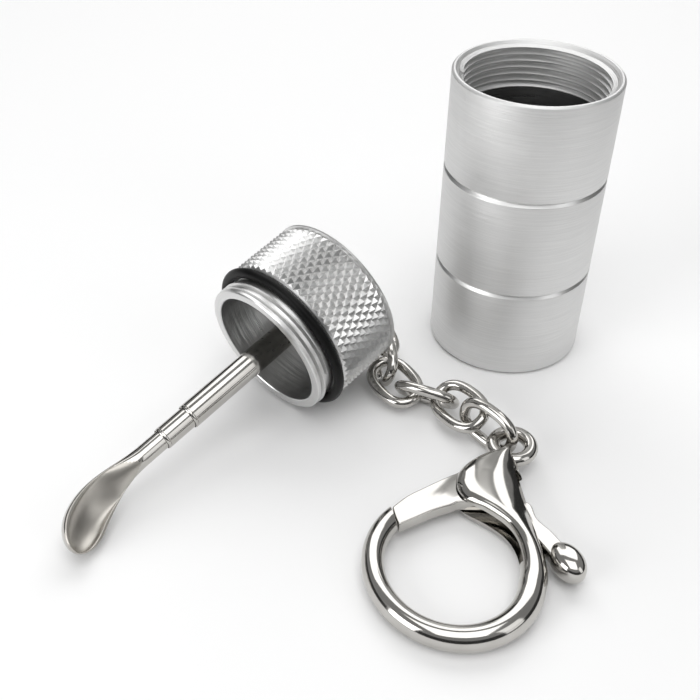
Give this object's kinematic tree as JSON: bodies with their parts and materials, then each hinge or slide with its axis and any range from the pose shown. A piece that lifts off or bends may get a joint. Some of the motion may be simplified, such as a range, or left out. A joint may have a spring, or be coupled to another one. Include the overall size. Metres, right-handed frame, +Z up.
{
  "type": "snuff bottle keychain",
  "caption": "Small turned aluminium bottle with its knurled screw cap off beside it, a telescopic spoon in the cap, and a chain to a claw clasp.",
  "frame": {"origin": "middle of the bottle's flat base, on the surface that everything lies on", "axes": "+Z up along the bottle, the cap lies towards -X and the clasp towards -Y"},
  "size_m": [0.0734, 0.0756, 0.045],
  "materials": {
    "aluminium": "satin",
    "bright_plate": "polished",
    "seal_rubber": "satin",
    "plain_steel": "satin"
  },
  "bodies": {
    "bottle": {"bottle_body": "aluminium"},
    "cap": {"cap_shell": "aluminium", "o_ring": "seal_rubber", "cap_screw_eye": "bright_plate", "rod_base_plug": "plain_steel", "rod_outer_tube": "bright_plate"},
    "rod_middle": {"rod_middle_tube": "bright_plate"},
    "spoon": {"spoon": "bright_plate"},
    "link_1": {"chain_link_1": "bright_plate"},
    "link_2": {"chain_link_2": "bright_plate"},
    "link_3": {"chain_link_3": "bright_plate"},
    "link_4": {"chain_link_4": "bright_plate"},
    "link_5": {"chain_link_5": "bright_plate"},
    "link_6": {"chain_link_6": "bright_plate"},
    "link_7": {"chain_link_7": "bright_plate"},
    "clasp": {"clasp_body": "bright_plate", "clasp_pivot_pin": "plain_steel", "clasp_spring": "plain_steel"},
    "gate": {"clasp_gate": "bright_plate"}
  },
  "joints": [
    {"name": "cap_lift", "type": "slide", "parent": "bottle", "child": "cap", "axis": [0, 0, 1], "range_m": [0, 0.1]},
    {"name": "middle_tube_slide", "type": "slide", "parent": "cap", "child": "rod_middle", "axis": [-0.6576, -0.7227, -0.213], "range_m": [-0.0044, 0.012]},
    {"name": "spoon_slide", "type": "slide", "parent": "rod_middle", "child": "spoon", "axis": [-0.6576, -0.7227, -0.213], "range_m": [-0.004, 0.01]},
    {"name": "link_1_swing", "type": "hinge", "parent": "cap", "child": "link_1", "pos_m": [-0.02489, -0.00705, 0.01493], "axis": [-0.04, 0.9992, 0], "range_deg": [-10, 2]},
    {"name": "link_2_swing", "type": "hinge", "parent": "link_1", "child": "link_2", "pos_m": [-0.02289, -0.00871, 0.00836], "axis": [0, 0, 1], "range_deg": [-6, 12]},
    {"name": "link_3_swing", "type": "hinge", "parent": "link_2", "child": "link_3", "pos_m": [-0.0203, -0.01137, 0.00555], "axis": [0.9802, 0.198, 0], "range_deg": [-15, 12]},
    {"name": "link_4_swing", "type": "hinge", "parent": "link_3", "child": "link_4", "pos_m": [-0.01885, -0.01393, 0.00492], "axis": [0, 0, -1], "range_deg": [-15, 15]},
    {"name": "link_5_swing", "type": "hinge", "parent": "link_4", "child": "link_5", "pos_m": [-0.01486, -0.01863, 0.00202], "axis": [-0.3891, -0.9212, 0], "range_deg": [-20, 20]},
    {"name": "link_6_swing", "type": "hinge", "parent": "link_5", "child": "link_6", "pos_m": [-0.01225, -0.02259, 0.00385], "axis": [0, 0, 1], "range_deg": [-20, 20]},
    {"name": "link_7_swing", "type": "hinge", "parent": "link_6", "child": "link_7", "pos_m": [-0.00884, -0.02625, 0.00241], "axis": [0.697, 0.717, 0], "range_deg": [-10, 10]},
    {"name": "clasp_swing", "type": "hinge", "parent": "link_7", "child": "clasp", "pos_m": [-0.00376, -0.02977, 0.00233], "axis": [0, 0, -1], "range_deg": [-20, 10]},
    {"name": "gate_swing", "type": "hinge", "parent": "clasp", "child": "gate", "pos_m": [-0.00503, -0.04079, 0.00275], "axis": [-0.0154, -0.0328, 0.9993], "range_deg": [0, 22], "stiffness_Nm_per_rad": 0.01, "springref_deg": -20.05, "deforming": ["clasp_spring"]}
  ]
}
